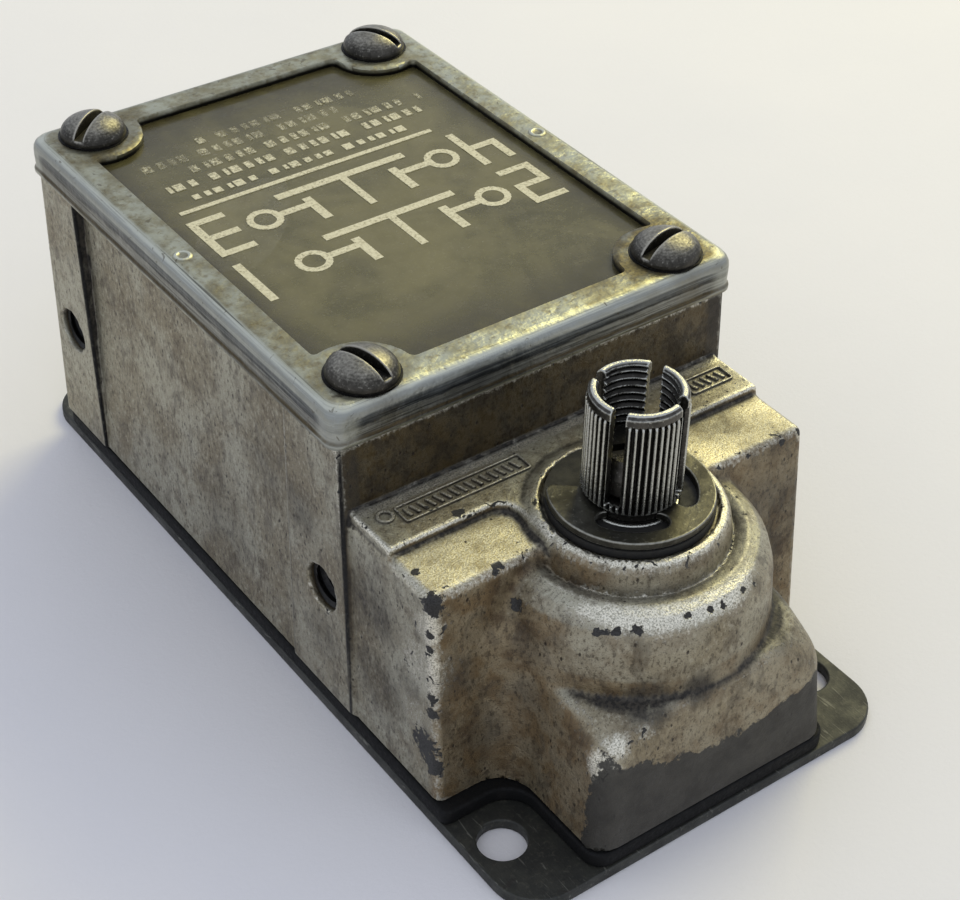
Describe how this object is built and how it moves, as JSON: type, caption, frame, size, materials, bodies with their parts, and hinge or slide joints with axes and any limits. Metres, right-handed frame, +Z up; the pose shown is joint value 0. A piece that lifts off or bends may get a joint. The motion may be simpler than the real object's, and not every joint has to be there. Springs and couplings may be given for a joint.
{
  "type": "limit switch",
  "caption": "Rotary-head limit switch: cast housing on a steel base plate with gasket, window cover, serrated lever shaft with retaining ring, contacts inside.",
  "frame": {"origin": "bottom centre of the bounding box, on the underside of the base plate", "axes": "+Z up, out of the surface it is fixed to; -Y towards the shaft end, +Y towards the cable entry, X across the width"},
  "size_m": [0.062, 0.125, 0.0549],
  "materials": {
    "casting": "aged die casting with a bronze-brown patina, worn bright on its edges",
    "plate_steel": "dark steel with faint scribe marks",
    "gasket_rubber": "matt black",
    "zinc_screw": "dull plated steel",
    "cover_plating": "pale greenish-grey plated sheet, brushed on its flange",
    "window_plastic": "aged olive-brown transparent plastic with a cream printed diagram",
    "black_screw": "black oxide, worn on the head",
    "bearing_bronze": "sintered bronze",
    "shaft_steel": "dark steel with bright worn tooth crests",
    "pin_steel": "ground steel",
    "washer_plastic": "dark fibre",
    "ring_steel": "dark spring steel with lighter edges",
    "spring_wire": "bright spring wire",
    "guide_brass": "plain brass",
    "bridge_copper": "spring bronze",
    "contact_silver": "silver contact metal",
    "bakelite_brown": "moulded brown phenolic",
    "clamp_nickel": "nickel plate"
  },
  "bodies": {
    "switch_body": {"housing": "casting", "base_plate": "plate_steel", "base_gasket": "gasket_rubber", "base_screws": "zinc_screw", "cover_frame": "cover_plating", "window": "window_plastic", "cover_gasket": "gasket_rubber", "cover_screws": "black_screw", "bushing": "bearing_bronze", "shaft_seal": "gasket_rubber", "guide_plate": "guide_brass", "guide_screws": "zinc_screw", "front_spring": "spring_wire", "rear_spring": "spring_wire", "contact_block": "bakelite_brown", "block_screws": "zinc_screw", "terminal_1": "guide_brass", "terminal_2": "guide_brass", "terminal_3": "guide_brass", "terminal_4": "guide_brass", "fixed_tip_1": "contact_silver", "fixed_tip_2": "contact_silver", "fixed_tip_3": "contact_silver", "fixed_tip_4": "contact_silver", "terminal_screws": "guide_brass", "terminal_clamps": "clamp_nickel"},
    "shaft_group": {"shaft": "shaft_steel", "crank": "shaft_steel", "crank_pin": "pin_steel", "drive_pin": "pin_steel", "thrust_washer": "washer_plastic", "retaining_ring": "ring_steel", "lock_plug": "shaft_steel"},
    "slide_group": {"slide_bar": "pin_steel", "contact_carrier": "bakelite_brown", "carrier_rivets": "guide_brass", "bridge_front": "bridge_copper", "bridge_rear": "bridge_copper", "moving_tip_1": "contact_silver", "moving_tip_2": "contact_silver", "moving_tip_3": "contact_silver", "moving_tip_4": "contact_silver", "contact_spring": "spring_wire"}
  },
  "joints": [
    {"name": "shaft_turn", "type": "hinge", "parent": "switch_body", "child": "shaft_group", "pos_m": [0, -0.04145, 0.0375], "axis": [0, 0, 1], "range_deg": [-30, 30], "stiffness_Nm_per_rad": 0.5},
    {"name": "slide_move", "type": "slide", "parent": "switch_body", "child": "slide_group", "axis": [0, 1, 0], "range_m": [-0.00381, 0.00381], "deforming": ["front_spring", "rear_spring"]}
  ],
  "couplings": [
    {"joint": "shaft_turn", "follows": "slide_move", "rad_per_m": 137.46}
  ]
}
